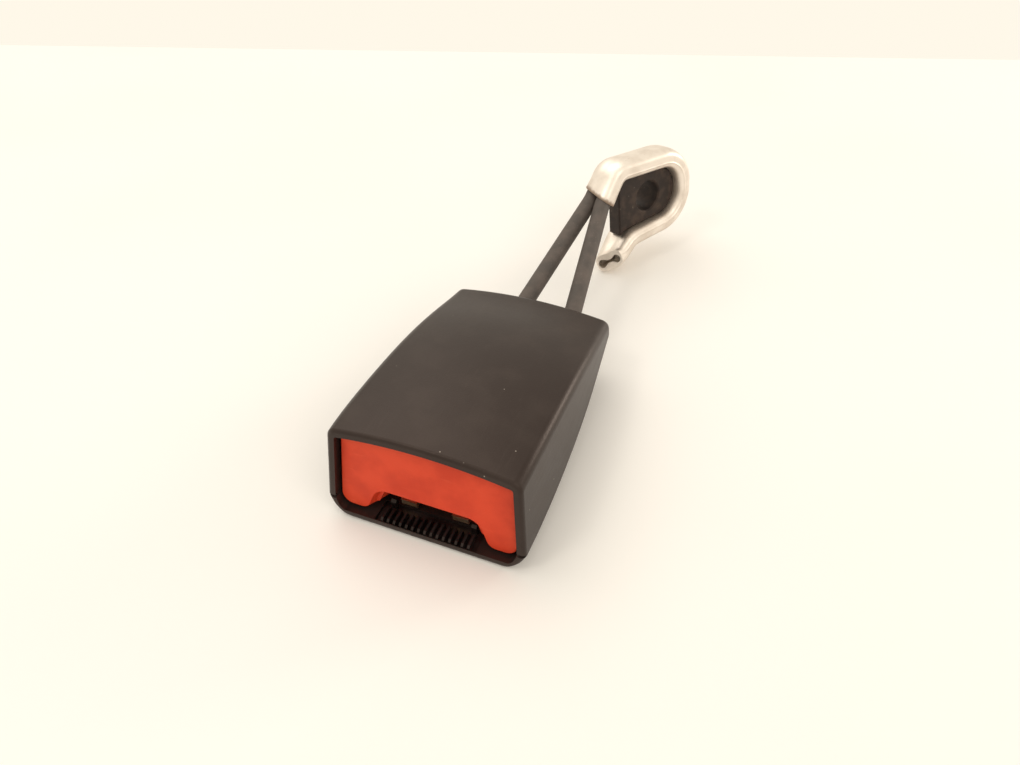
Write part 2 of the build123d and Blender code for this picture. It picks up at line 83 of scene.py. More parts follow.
class Value:
    # arithmetic on it adds Math nodes
    def __init__(self, maker, socket):
        self.maker, self.socket = maker, socket

    def math(self, operation, first, second):
        return self.maker.node("ShaderNodeMath", {"operation": operation}, {0: first, 1: second})

    def __add__(self, other): return self.math("ADD", self, other)
    def __sub__(self, other): return self.math("SUBTRACT", self, other)
    def __mul__(self, other): return self.math("MULTIPLY", self, other)
    def __rsub__(self, other): return self.math("SUBTRACT", other, self)

    def over(self, low, high):
        # 0 below low, 1 above high, smooth between
        ways = {"Value": self, "From Min": low, "From Max": high}
        return self.maker.node("ShaderNodeMapRange", {"interpolation_type": "SMOOTHSTEP"}, ways)


class Finish:
    # node() adds any node, and the rest are common steps built from it
    def __init__(self, name):
        self.material = bpy.data.materials.new(name)
        self.material.use_nodes = True
        self.tree = self.material.node_tree
        self.tree.nodes.clear()
        self.place = self.node("ShaderNodeTexCoord", output="Object")

    def node(self, kind, settings=None, inputs=None, output=0):
        made = self.tree.nodes.new(kind)
        for key, value in (settings or {}).items():
            setattr(made, key, value)
        for key, value in (inputs or {}).items():
            if isinstance(value, Value):
                self.tree.links.new(value.socket, made.inputs[key])
            else:
                made.inputs[key].default_value = value
        return Value(self, made.outputs[output])

    def noise(self, size, detail, stretch=(1, 1, 1), turn=0.0):
        # lumps about size metres across, drawn out along an axis by stretch and turned about the upright
        ways = {"Vector": self.place, "Scale": tuple(1 / part for part in stretch), "Rotation": (0, 0, turn)}
        spot = self.node("ShaderNodeMapping", {}, ways)
        return self.node("ShaderNodeTexNoise", {}, {"Vector": spot, "Scale": 1 / size, "Detail": detail})

    def layer(self, plan):
        # the plan's noise, and the same noise as patches that fade in over its span
        stretch, turn = plan.get("stretch", (1, 1, 1)), plan.get("turn", 0.0)
        cloud = self.noise(plan["size"], plan["detail"], stretch, turn)
        return cloud, cloud.over(*plan["span"])

    def cells(self, size):
        return self.node("ShaderNodeTexVoronoi", {"feature": "F1"}, {"Vector": self.place, "Scale": 1 / size})

    def vector(self, operation, first, second, output=0):
        return self.node("ShaderNodeVectorMath", {"operation": operation}, {0: first, 1: second}, output)

    def mix(self, share, first, second):
        # 6 and 7 are the colour inputs A and B, and 2 is the colour output
        ways = {"Factor": share, 6: first, 7: second}
        return self.node("ShaderNodeMix", {"data_type": "RGBA"}, ways, output=2)

    def relief(self, plan, under=None):
        grain = self.noise(plan["size"], plan["detail"], plan.get("stretch", (1, 1, 1)))
        return self.bump(grain, plan["strength"], plan["depth"], under)

    def bump(self, height, strength, distance, under=None):
        ways = {"Height": height, "Strength": strength, "Distance": distance}
        if under is not None:
            ways["Normal"] = under
        return self.node("ShaderNodeBump", {}, ways)

    def surface(self, **inputs):
        named = {key.replace("_", " "): value for key, value in inputs.items()}
        shader = self.node("ShaderNodeBsdfPrincipled", {}, named)
        last = self.tree.nodes.new("ShaderNodeOutputMaterial")
        self.tree.links.new(shader.socket, last.inputs["Surface"])
        return self.material


# Moulded and drawn surfaces. A plan with a size, a detail and a span is one layer of noise, and a
# relief plan presses fine noise into the surface by a strength and a depth in metres.

def mouldedCover():
    look = {"black": (0.0185, 0.0122, 0.0104, 1), "worn": (0.034, 0.0245, 0.0205, 1),
            "dust": (0.46, 0.40, 0.33, 1), "sheen": (1.0, 0.80, 0.70, 1),
            "swell": {"size": 0.011, "detail": 3, "span": (0.42, 0.72)},
            "rub": {"size": 0.0013, "detail": 4, "stretch": (1, 9, 1), "turn": 0.35, "span": (0.55, 0.8)},
            "grain": {"size": 0.00042, "detail": 2, "span": (0.55, 0.8)}, "grainStrength": 0.6,
            "grainDepth": 0.00005, "wear": (0.5, 0.3, 0.25), "dustSize": 0.0046, "dustSpan": (0.03, 0.05),
            "dustShare": 0.7,
            "dustPatch": {"size": 0.009, "detail": 1, "span": (0.5, 0.6)},
            "roughness": 0.27, "swellRough": 0.10, "rubRough": 0.08}
    finish = Finish("coverPlastic")
    swell, swollen = finish.layer(look["swell"])
    rub, rubbed = finish.layer(look["rub"])
    grain, grained = finish.layer(look["grain"])
    worn = swollen * look["wear"][0] + rubbed * look["wear"][1] + grained * look["wear"][2]
    colour = finish.mix(worn, look["black"], look["worn"])
    specks = finish.cells(look["dustSize"])
    patchy = finish.layer(look["dustPatch"])[1]
    dusty = (1 - specks.over(*look["dustSpan"])) * patchy
    colour = finish.mix(dusty * look["dustShare"], colour, look["dust"])
    roughness = swell * look["swellRough"] + rub * look["rubRough"] + look["roughness"]
    fine = finish.bump(grain, look["grainStrength"], look["grainDepth"])
    return finish.surface(Base_Color=colour, Roughness=roughness, Normal=fine, IOR=1.5,
                          Specular_IOR_Level=0.34, Specular_Tint=look["sheen"])


def mouldedGuide():
    look = {"black": (0.0085, 0.0055, 0.005, 1), "grey": (0.020, 0.014, 0.0125, 1),
            "sheen": (1.0, 0.82, 0.74, 1), "swell": {"size": 0.006, "detail": 3, "span": (0.4, 0.7)},
            "relief": {"size": 0.0005, "detail": 2, "strength": 0.3, "depth": 0.00002},
            "roughness": 0.3, "swellRough": 0.15}
    finish = Finish("guidePlastic")
    swell, swollen = finish.layer(look["swell"])
    colour = finish.mix(swollen, look["black"], look["grey"])
    roughness = swell * look["swellRough"] + look["roughness"]
    return finish.surface(Base_Color=colour, Roughness=roughness, Normal=finish.relief(look["relief"]),
                          IOR=1.5, Specular_IOR_Level=0.3, Specular_Tint=look["sheen"])


def mouldedButton():
    look = {"red": (0.72, 0.060, 0.020, 1), "deep": (0.60, 0.042, 0.014, 1), "pale": (0.80, 0.12, 0.050, 1),
            "sheen": (1.0, 0.80, 0.62, 1), "cloud": {"size": 0.009, "detail": 4, "span": (0.35, 0.7)},
            "scuff": {"size": 0.0018, "detail": 5, "stretch": (5, 1, 1), "turn": 0.5, "span": (0.6, 0.85)},
            "scuffShare": 0.5, "relief": {"size": 0.0006, "detail": 2, "strength": 0.4, "depth": 0.00003},
            "roughness": 0.40, "cloudRough": 0.12, "scuffRough": 0.06}
    finish = Finish("buttonPlastic")
    cloud, clouded = finish.layer(look["cloud"])
    colour = finish.mix(clouded, look["red"], look["deep"])
    scuff, scuffed = finish.layer(look["scuff"])
    colour = finish.mix(scuffed * look["scuffShare"], colour, look["pale"])
    roughness = cloud * look["cloudRough"] + scuff * look["scuffRough"] + look["roughness"]
    return finish.surface(Base_Color=colour, Roughness=roughness, Normal=finish.relief(look["relief"]),
                          IOR=1.48, Specular_IOR_Level=0.35, Specular_Tint=look["sheen"])


def sleeveRubber():
    look = {"dark": (0.075, 0.062, 0.052, 1), "brown": (0.118, 0.093, 0.077, 1),
            "dust": (0.25, 0.21, 0.175, 1), "cloud": {"size": 0.005, "detail": 4, "span": (0.3, 0.75)},
            "speck": {"size": 0.0007, "detail": 3, "span": (0.62, 0.75)}, "speckShare": 0.35,
            "relief": {"size": 0.0004, "detail": 2, "strength": 0.5, "depth": 0.00003},
            "roughness": 0.62, "cloudRough": 0.15}
    finish = Finish("sheathRubber")
    cloud, clouded = finish.layer(look["cloud"])
    colour = finish.mix(clouded, look["dark"], look["brown"])
    specked = finish.layer(look["speck"])[1]
    colour = finish.mix(specked * look["speckShare"], colour, look["dust"])
    roughness = cloud * look["cloudRough"] + look["roughness"]
    return finish.surface(Base_Color=colour, Roughness=roughness, Normal=finish.relief(look["relief"]),
                          IOR=1.45)


def dullAluminium():
    # brown dirt on the lip where the sleeve opens round the sheaths, and painted shade just inside it:
    # mouth is that place in millimetres from mouthPoint, mouthFaces the way it opens, and the Deep and
    # Reach entries how far in and how far about it goes
    look = {"metal": (0.84, 0.765, 0.69, 1), "grey": (0.72, 0.64, 0.565, 1), "dirtAndShade": (0.20, 0.115, 0.06, 1),
            "cloud": {"size": 0.006, "detail": 4, "span": (0.35, 0.7)},
            "pits": {"size": 0.0011, "detail": 3, "span": (0.68, 0.8)}, "pitShare": 0.35,
            "mouth": (4.4, 146.0, 31.2), "mouthFaces": (-0.382, -0.458, -0.802), "dirtShadeDeep": 0.0017,
            "dirtShadeFade": 0.2, "dirtShadeReach": 0.010, "reachFade": 0.8, "dirtShadeShare": 0.8, "raggedSize": 0.002,
            "raggedDepth": 0.002, "relief": {"size": 0.0005, "detail": 3, "strength": 0.2, "depth": 0.00003},
            "dents": {"size": 0.005, "detail": 2, "strength": 0.2, "depth": 0.0003},
            "roughness": 0.36, "cloudRough": 0.15, "pitRough": 0.2, "dirtShadeRough": 0.2, "dirtShadeDull": 0.6}
    finish = Finish("ferruleAluminium")
    cloud, clouded = finish.layer(look["cloud"])
    colour = finish.mix(clouded, look["metal"], look["grey"])
    pitted = finish.layer(look["pits"])[1]
    colour = finish.mix(pitted * look["pitShare"], colour, look["dirtAndShade"])
    spot = tuple(mouthPoint + Vector(look["mouth"]) * mm)
    apart = finish.vector("DISTANCE", finish.place, spot, output=1)
    offset = finish.vector("SUBTRACT", finish.place, spot)
    level = finish.vector("DOT_PRODUCT", offset, look["mouthFaces"], output=1)
    edge = finish.noise(look["raggedSize"], detail=3) * look["raggedDepth"]
    ragged = level + edge - look["raggedDepth"] / 2
    # this mask browns the mouth's lip with dirt and darkens the opening just inside it as painted shade
    rim = ragged.over(-look["dirtShadeDeep"], -look["dirtShadeFade"] * look["dirtShadeDeep"])
    near = 1 - apart.over(look["reachFade"] * look["dirtShadeReach"], look["dirtShadeReach"])
    dirtShadeMask = rim * near * look["dirtShadeShare"]
    colour = finish.mix(dirtShadeMask, colour, look["dirtAndShade"])
    fine = finish.relief(look["relief"], under=finish.relief(look["dents"]))
    roughness = cloud * look["cloudRough"] + pitted * look["pitRough"]
    roughness = roughness + dirtShadeMask * look["dirtShadeRough"] + look["roughness"]
    metal = 1 - dirtShadeMask * look["dirtShadeDull"]
    return finish.surface(Base_Color=colour, Metallic=metal, Roughness=roughness, Normal=fine)


def paintedPlate():
    look = {"black": (0.019, 0.014, 0.0125, 1), "brown": (0.050, 0.034, 0.026, 1),
            "bare": (0.28, 0.24, 0.20, 1), "sheen": (1.0, 0.84, 0.76, 1),
            "cloud": {"size": 0.004, "detail": 5, "span": (0.4, 0.7)},
            "chips": {"size": 0.0015, "detail": 4, "span": (0.68, 0.74)}, "chipShare": 0.5, "chipMetal": 0.7,
            "paintMetal": 0.05, "relief": {"size": 0.0006, "detail": 3, "strength": 0.5, "depth": 0.00004},
            "roughness": 0.45, "cloudRough": 0.15}
    finish = Finish("plateSteel")
    cloud, clouded = finish.layer(look["cloud"])
    colour = finish.mix(clouded, look["black"], look["brown"])
    chipped = finish.layer(look["chips"])[1]
    colour = finish.mix(chipped * look["chipShare"], colour, look["bare"])
    metal = chipped * look["chipMetal"] + look["paintMetal"]
    roughness = cloud * look["cloudRough"] + look["roughness"]
    return finish.surface(Base_Color=colour, Metallic=metal, Roughness=roughness,
                          Normal=finish.relief(look["relief"]), Specular_IOR_Level=0.3,
                          Specular_Tint=look["sheen"])


def platedSteel():
    look = {"brass": (0.84, 0.54, 0.28, 1), "grey": (0.68, 0.54, 0.40, 1), "stain": (0.16, 0.09, 0.05, 1),
            "cloud": {"size": 0.005, "detail": 4, "span": (0.35, 0.7)},
            "stains": {"size": 0.002, "detail": 4, "span": (0.6, 0.75)}, "stainShare": 0.6,
            "relief": {"size": 0.0005, "detail": 3, "stretch": (1, 10, 1), "strength": 0.4, "depth": 0.00002},
            "roughness": 0.3, "cloudRough": 0.15, "stainRough": 0.2}
    finish = Finish("platedSteel")
    cloud, clouded = finish.layer(look["cloud"])
    colour = finish.mix(clouded, look["brass"], look["grey"])
    stained = finish.layer(look["stains"])[1]
    colour = finish.mix(stained * look["stainShare"], colour, look["stain"])
    roughness = cloud * look["cloudRough"] + stained * look["stainRough"] + look["roughness"]
    return finish.surface(Base_Color=colour, Metallic=1.0, Roughness=roughness,
                          Normal=finish.relief(look["relief"]))


def plainFinish(name, look):
    # two colours that drift into each other, with one fine relief
    finish = Finish(name)
    cloud, clouded = finish.layer(look["cloud"])
    colour = finish.mix(clouded, look["first"], look["second"])
    roughness = cloud * look["cloudRough"] + look["roughness"]
    return finish.surface(Base_Color=colour, Roughness=roughness, Normal=finish.relief(look["relief"]),
                          **look["rest"])


steelCloud = {"size": 0.003, "detail": 3, "span": (0.4, 0.7)}
steelRelief = {"size": 0.0004, "detail": 3, "strength": 0.35, "depth": 0.00002}
plainLooks = {
    "pinSteel": {"first": (0.60, 0.59, 0.57, 1), "second": (0.44, 0.43, 0.42, 1), "cloud": steelCloud,
                 "relief": {**steelRelief, "stretch": (8, 1, 1)}, "roughness": 0.25, "cloudRough": 0.15,
                 "rest": {"Metallic": 1.0}},
    "springSteel": {"first": (0.42, 0.41, 0.40, 1), "second": (0.27, 0.26, 0.25, 1), "cloud": steelCloud,
                    "relief": steelRelief, "roughness": 0.28, "cloudRough": 0.15, "rest": {"Metallic": 1.0}},
    "ropeSteel": {"first": (0.50, 0.48, 0.45, 1), "second": (0.26, 0.22, 0.18, 1), "cloud": steelCloud,
                  "relief": steelRelief, "roughness": 0.34, "cloudRough": 0.15, "rest": {"Metallic": 1.0}},
    "ejectorPlastic": {"first": (0.62, 0.58, 0.50, 1), "second": (0.52, 0.48, 0.41, 1),
                       "cloud": {"size": 0.004, "detail": 3, "span": (0.4, 0.7)},
                       "relief": {"size": 0.0005, "detail": 2, "strength": 0.3, "depth": 0.00002},
                       "roughness": 0.4, "cloudRough": 0.1, "rest": {"IOR": 1.48}},
}
coverFinish = mouldedCover()
guideFinish = mouldedGuide()
buttonFinish = mouldedButton()
rubberFinish = sleeveRubber()
aluminiumFinish = dullAluminium()
plateFinish = paintedPlate()
platedFinish = platedSteel()
plain = [plainFinish(name, look) for name, look in plainLooks.items()]
pinFinish, springFinish, ropeFinish, ejectorFinish = plain
print("finishes:", len(bpy.data.materials))


# CAD nodes that keep their shape are dressed, and the others get a piece that is seen in their place.

def dress(node, finish):
    mesh = nodes[node].data
    mesh.materials.clear()
    mesh.materials.append(finish)


def standFor(node, mesh, finish, name, sharpAngle=skin["sharpAngle"], rides=True):
    # a piece that is seen in the node's place and moves with the node's body
    mesh.name = name
    mesh.materials.clear()
    mesh.materials.append(finish)
    mesh.shade_smooth()
    mesh.set_sharp_from_angle(angle=math.radians(sharpAngle))
    piece = bpy.data.objects.new(name, mesh)
    bpy.context.scene.collection.objects.link(piece)
    even = piece.modifiers.new("evenShading", "WEIGHTED_NORMAL")
    even.keep_sharp = True
    if rides:
        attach(piece, bodyOf[node])
    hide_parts(node)
    return piece


def smoothSkin(node, finish, name, reshape=None, rides=True):
    # the CAD node's own shape with its loose triangles joined, so that light runs smoothly over it
    mesh = nodes[node].data.copy()
    work = bmesh.new()
    work.from_mesh(mesh)
    bmesh.ops.remove_doubles(work, verts=work.verts, dist=skin["weld"])
    work.to_mesh(mesh)
    work.free()
    if "custom_normal" in mesh.attributes:
        mesh.attributes.remove(mesh.attributes["custom_normal"])
    if reshape is not None:
        flat = np.empty(3 * len(mesh.vertices))
        mesh.vertices.foreach_get("co", flat)
        spots = (flat.reshape(-1, 3) - np.array(mouthPoint)) / mm
        mesh.vertices.foreach_set("co", placed(reshape(spots)).ravel())
    return standFor(node, mesh, finish, name, rides=rides)


# Covers: the CAD shape with rounder lower corners and a flatter rear end.

cover = {"frontHalf": 30.0, "rearHalf": 27.1, "length": 86.0, "levelLength": 21.0, "rearFloor": 9.9,
         "parting": 6.4, "partingRise": 1.7, "floorCurve": 1.5, "leanIn": 0.125, "cornerPull": 0.85,
         "cornerReach": 7.5, "sideBand": 9.0, "sideEdge": 1.0, "bowTaken": 2.3,
         "bowFrom": 62.0, "bowTo": 86.0}


def smooth(low, high, value):
    share = np.clip((value - low) / (high - low), 0, 1)
    return share * share * (3 - 2 * share)


def reshapeCover(spots):
    # below the parting line the sides lean in by leanIn of their depth, and the lower corners are
    # drawn towards the middle; the rear end moves forward by bowTaken, least at its sides
    x, y, z = spots.T
    along = np.clip(y / cover["length"], 0, 1)
    half = cover["frontHalf"] + (cover["rearHalf"] - cover["frontHalf"]) * along
    slope = np.clip((y - cover["levelLength"]) / (cover["length"] - cover["levelLength"]), 0, 1)
    floor = cover["rearFloor"] * slope ** cover["floorCurve"]
    parting = floor + cover["parting"] + cover["partingRise"] * along
    below = np.clip(parting - z, 0, None)
    edge = smooth(half - cover["sideBand"], half - cover["sideEdge"], np.abs(x))
    inward = cover["leanIn"] * below * edge
    reach = np.hypot(np.abs(x) - half, z - floor)
    pull = cover["cornerPull"] * smooth(cover["cornerReach"], 0, reach) * (below > 0)
    rear = smooth(cover["bowFrom"], cover["bowTo"], y) * np.clip(1 - (x / cover["rearHalf"]) ** 2, 0, 1)
    return np.stack([x - np.sign(x) * (inward + pull), y - cover["bowTaken"] * rear, z + pull], axis=1)


# Shapes worked out as rings of points, in millimetres from mouthPoint.

def roundedPath(corners, radii, closed=False, arcSteps=12, runStep=1.5, runSteps=None):
    # straight runs joined by tangent arcs: each corner is cut back by radius / tan(half its angle)
    corners = np.array(corners, dtype=float)
    count = len(corners)
    first, last = (0, count) if closed else (1, count - 1)
    points = [] if closed else [corners[:1]]
    for place, radius in zip(range(first, last), radii):
        here = corners[place]
        back = corners[place - 1] - here
        ahead = corners[(place + 1) % count] - here
        back, ahead = back / np.linalg.norm(back), ahead / np.linalg.norm(ahead)
        half = np.arccos(np.clip(back @ ahead, -1, 1)) / 2
        middle = here + (back + ahead) / np.linalg.norm(back + ahead) * radius / np.sin(half)
        spoke = here + back * radius / np.tan(half) - middle
        side = np.sign(back[1] * ahead[0] - back[0] * ahead[1])
        turn = np.linspace(0, 1, arcSteps + 1) * (np.pi - 2 * half) * side
        arc = np.stack([np.cos(turn) * spoke[0] - np.sin(turn) * spoke[1],
                        np.sin(turn) * spoke[0] + np.cos(turn) * spoke[1]], axis=1)
        points.append(middle + arc)
    if not closed:
        points.append(corners[-1:])
    filled = []
    for place, piece in enumerate(points):
        following = points[(place + 1) % len(points)]
        filled.append(piece)
        if closed or place < len(points) - 1:
            gap = np.linalg.norm(following[0] - piece[-1])
            share = np.linspace(0, 1, (runSteps or max(int(gap / runStep), 1)) + 1)[1:-1, None]
            filled.append(piece[-1] * (1 - share) + following[0] * share)
    return np.concatenate(filled)


def evenly(points, count):
    # the closed outline again, as count points equally far apart from its first one
    loop = np.concatenate([points, points[:1]])
    length = np.concatenate([[0], np.cumsum(np.linalg.norm(np.diff(loop, axis=0), axis=1))])
    stops = np.linspace(0, length[-1], count, endpoint=False)
    return np.stack([np.interp(stops, length, loop[:, axis]) for axis in (0, 1)], axis=1)


def ringMesh(rings, joined=False, caps=(), apart=()):
    # a grid of rings by points: neighbours are joined by four-sided faces, but not after the rings
    # named in apart, and joined closes the grid on itself
    rings = np.array(rings)
    count, size = rings.shape[:2]
    ring = np.setdiff1d(np.arange(count if joined else count - 1), apart).astype(int)[:, None]
    spot = np.arange(size)[None, :]
    following, beside = (ring + 1) % count, (spot + 1) % size
    corners = [ring * size + spot, ring * size + beside, following * size + beside, following * size + spot]
    faces = np.stack(corners, axis=-1).reshape(-1, 4).tolist()
    faces += [list(range(place * size, place * size + size)) for place in caps]
    mesh = bpy.data.meshes.new("rings")
    mesh.from_pydata(placed(rings.reshape(-1, 3)).tolist(), [], faces)
    work = bmesh.new()
    work.from_mesh(mesh)
    bmesh.ops.recalc_face_normals(work, faces=work.faces)
    work.to_mesh(mesh)
    work.free()
    return mesh


# Push button: one outline carried back from a leaning face, with the arch the tongue passes under,
# and a stepped shelf inside that the yoke sits on.

button = {"halfWidth": 30.0, "height": 33.4, "inset": 3.1, "lean": 7.8, "recess": 2.3, "depth": 13.0,
          "wall": 2.0, "draft": 4.9, "lowerDraft": 16.0, "parting": 6.4, "shoulderDrop": 2.0,
          "crownRound": 200.0, "shoulderRound": 0.9, "partingRound": 1.0, "bottomCorner": 3.4,
          "leastRound": 0.8, "archHalf": 15.3, "archTop": 11.6, "archFoot": 19.9, "archRound": 5.0,
          "toeRound": 3.0, "throatDepth": 7.0, "throatNarrowing": 4.0, "throatShares": (0.35, 0.7, 1.0),
          "edgeRound": 0.45, "edgeSteps": 5, "shelfHalf": 10.8, "shelfLow": 12.6, "shelfHigh": 18.9,
          "stepDrop": 4.7, "stepFront": 8.0, "runSteps": 6}


def buttonOutline(inset, grow, narrowing=0.0):
    # the right half, from the crown down the drafted side to the toe and up the arch, then its mirror;
    # inset moves the outside in, grow moves the arch out and narrowing draws its sides together
    drop = button["shoulderDrop"]
    top, low = button["height"] - inset, inset
    wide = button["halfWidth"] - inset
    shoulder = (wide - math.tan(math.radians(button["draft"])) * (top - drop - button["parting"]), top - drop)
    toe = (wide - math.tan(math.radians(button["lowerDraft"])) * (button["parting"] - low), low)
    archTop = button["archTop"] + grow
    crownHalf = button["archHalf"] + grow / 2 - narrowing
    footHalf = button["archFoot"] + grow - narrowing
    share = low / archTop
    innerToe = (footHalf * (1 - share) + crownHalf * share, low)
    shrink = inset - button["inset"]
    right = [(0.0, top), shoulder, (wide, button["parting"]), toe, innerToe, (crownHalf, archTop)]
    radii = [button["crownRound"], button["shoulderRound"], button["partingRound"],
             max(button["bottomCorner"] - shrink, button["leastRound"]),
             max(button["toeRound"] - shrink, button["leastRound"]), button["archRound"] + grow]
    corners = right + [(-x, z) for x, z in right[:0:-1]]
    return roundedPath(corners, radii + radii[:0:-1], closed=True, runSteps=button["runSteps"])


def buttonRing(outline, back):
    # the outline stands on a plane that leans back by lean, moved back behind the mouth
    lean = math.radians(button["lean"])
    x, height = outline.T
    return np.stack([x, height * math.sin(lean) + button["recess"] + back, height * math.cos(lean)], axis=1)


def makeButton():
    inset, wall, edge = button["inset"], button["wall"], button["edgeRound"]
    narrow = button["throatNarrowing"]
    rings = []
    for turn in np.linspace(0, np.pi / 2, button["edgeSteps"]):
        cut = edge * (1 - math.sin(turn))
        rings.append(buttonRing(buttonOutline(inset + cut, cut), edge * (1 - math.cos(turn))))
    for share in button["throatShares"]:
        rings.append(buttonRing(buttonOutline(inset, 0, narrow * share), button["throatDepth"] * share))
    rings.append(buttonRing(buttonOutline(inset, 0, narrow), button["depth"]))
    rings.append(buttonRing(buttonOutline(inset + wall, wall, narrow), button["depth"]))
    rings.append(buttonRing(buttonOutline(inset + wall, wall, narrow), wall))
    mesh = ringMesh(rings, caps=(0, len(rings) - 1))
    lean = math.tan(math.radians(button["lean"]))
    work = bmesh.new()
    work.from_mesh(mesh)
    low, high, half = button["shelfLow"], button["shelfHigh"], button["shelfHalf"]
    front, rear = button["recess"] + wall / 2, button["recess"] + button["depth"]
    stepFront, stepTop = button["stepFront"], high - button["stepDrop"]
    profile = [(front + low * lean, low), (rear, low), (rear, stepTop), (stepFront, stepTop),
               (stepFront, high), (front + high * lean, high)]
    left, right = ([work.verts.new(Vector((x, y, z)) * mm + mouthPoint) for y, z in profile]
                   for x in (-half, half))
    new = [work.faces.new(left), work.faces.new(right)]
    for place in range(len(profile)):
        new.append(work.faces.new((left[place - 1], left[place], right[place], right[place - 1])))
    bmesh.ops.recalc_face_normals(work, faces=new)
    work.to_mesh(mesh)
    work.free()
    return mesh


# Anchor end: a plane turned about the upright and tipped, with the loop drawn in it. Its tail starts
# at the loop's first point and runs to the elbow at the second.

anchor = {"origin": (20.0, 163.3, 25.4), "yaw": 58.9, "rise": 8.5, "plate": 7.0,
          "loop": [(-17.8, -21.7), (-10.6, -14.2), (17.9, -12.9), (17.9, 12.6), (-16.5, 14.9), (-22.1, 7.5)],
          "radii": [6.0, 12.5, 12.5, 6.0], "tailSwing": -4.6, "tailLift": 3.6, "tailDrop": 0.75,
          "tailBand": 6.5, "tailPast": 1.6}
yaw, rise = math.radians(anchor["yaw"]), math.radians(anchor["rise"])
anchorU = np.array([math.cos(yaw), math.sin(yaw), 0])
anchorN = np.array([math.sin(yaw) * math.cos(rise), -math.cos(yaw) * math.cos(rise), math.sin(rise)])
anchorV = np.cross(anchorN, anchorU)


def inAnchor(flat, height):
    # points of the anchor plane, lifted off it by height
    flat = np.asarray(flat, dtype=float)
    lift = np.broadcast_to(height, flat.shape[:-1])[..., None]
    return np.array(anchor["origin"]) + flat[..., :1] * anchorU + flat[..., 1:] * anchorV + lift * anchorN


def bendTail(spots):
    # past the last elbow the straight tail becomes a curve: with the share t of the old way it gains
    # swing t ** 1.5 along the plane, a further fall by t ** 2 (drop - t), and lift t ** 2 off the plane
    tail, elbow = (np.array(point) for point in anchor["loop"][:2])
    outward = tail - elbow
    run = np.linalg.norm(outward)
    local = spots - np.array(anchor["origin"])
    flat = np.stack([local @ anchorU, local @ anchorV], axis=-1) - elbow
    off = local @ anchorN + anchor["plate"] / 2
    share = flat @ outward / run ** 2
    side = np.array([-outward[1], outward[0], 0]) / run
    aside = flat @ side[:2]
    band = anchor["tailBand"]
    near = (np.abs(aside) < band) & (np.abs(off) < 2 * band) & (share > 0) & (share < anchor["tailPast"])
    t = np.where(near, share, 0)
    swing, lift, drop = anchor["tailSwing"], anchor["tailLift"], anchor["tailDrop"]
    middle = [outward[0] * t + swing * t ** 1.5, outward[1] * (t + t ** 2 * (drop - t)), lift * t ** 2]
    ahead = [outward[0] + 1.5 * swing * np.sqrt(t), outward[1] * (1 + 2 * drop * t - 3 * t ** 2),
             2 * lift * t]  # the way's slope in t, along which the section is carried
    middle, ahead = np.stack(middle, axis=-1), np.stack(ahead, axis=-1)
    ahead /= np.linalg.norm(ahead, axis=-1, keepdims=True)
    across = side - (ahead @ side)[..., None] * ahead
    across /= np.linalg.norm(across, axis=-1, keepdims=True)
    upright = np.cross(ahead, across)
    bent = middle + aside[..., None] * across + off[..., None] * upright
    bent = bent + np.array([elbow[0], elbow[1], -anchor["plate"] / 2])
    moved = np.array(anchor["origin"]) + bent @ np.stack([anchorU, anchorV, anchorN])
    return np.where(near[..., None], moved, spots)


# Ferrule: a pressed sleeve round two ropes, open at both ends. Lengths run along its path from the
# tail to the mouth at the sheaths.

sleeve = {"half": 6.6, "thick": 3.75, "square": 3.6, "round": 2.5, "roundBand": 0.5, "points": 144,
          "arcSteps": 18, "tailBack": 0.6, "tailSlant": 0.05, "tailTaper": 1.0, "taperReach": 10.0,
          "tailClear": 1.2, "mouthSlant": 0.2126, "mouthOut": 1.4, "mouthFlare": 0.3, "flareReach": 5.0,
          "mouthClear": 0.6, "slantReach": 7.0, "lip": 0.35, "lipSteps": 5, "tailValley": 0.10,
          "valleyEverywhere": 0.02, "valleyWidth": 1.8, "valleyReach": 15.0, "seamAt": 1.3,
          "seamHigh": 0.3, "seamWide": 0.32, "seamFade": 3.0, "boreSpacing": 3.0, "bore": 2.25,
          "neck": 0.8, "mouthBell": 3.45, "bellNeck": 2.2, "innerBell": 3.22, "innerNeck": 2.0,
          "innerDeep": 0.8, "mouthBore": 3.12, "mouthNeck": 1.9, "mouthStep": 0.1, "pinch": 0.7,
          "pinchSteps": ((2.0, 0.15), (1.2, 0.6), (0.3, 1.0), (0.0, 0.8)), "ropeSunk": 2.6}


def sleeveOutside(along, length, flare, shrink=0.0):
    # |x / half| ** square + |y / thick| ** square = 1, squarer on the side that holds the plate, with
    # a valley that grows towards the tail and a thin pressed seam on the front
    turn = np.linspace(0, 2 * np.pi, sleeve["points"], endpoint=False)
    taper = sleeve["tailTaper"] * float(smooth(sleeve["taperReach"], 0, along))
    half, thick = sleeve["half"] + flare - shrink - taper, sleeve["thick"] + flare / 2 - shrink
    angle = np.arctan2(thick * np.sin(turn), half * np.cos(turn))
    squarer = smooth(-sleeve["roundBand"], sleeve["roundBand"], np.sin(angle))
    square = sleeve["round"] + (sleeve["square"] - sleeve["round"]) * squarer
    size = (np.abs(np.cos(angle) / half) ** square + np.abs(np.sin(angle) / thick) ** square) ** (-1 / square)
    x, y = size * np.cos(angle), size * np.sin(angle)
    deep = sleeve["tailValley"] * float(smooth(sleeve["valleyReach"], 0, along)) + sleeve["valleyEverywhere"]
    y = y * (1 - deep * np.exp(-(x / sleeve["valleyWidth"]) ** 2))
    fade = sleeve["seamFade"]
    seam = sleeve["seamHigh"] * float(smooth(0, fade, along)) * float(smooth(0, fade, length - along))
    x = x + seam * np.exp(-((y - sleeve["seamAt"]) / sleeve["seamWide"]) ** 2) * (x > 0)
    return x, y


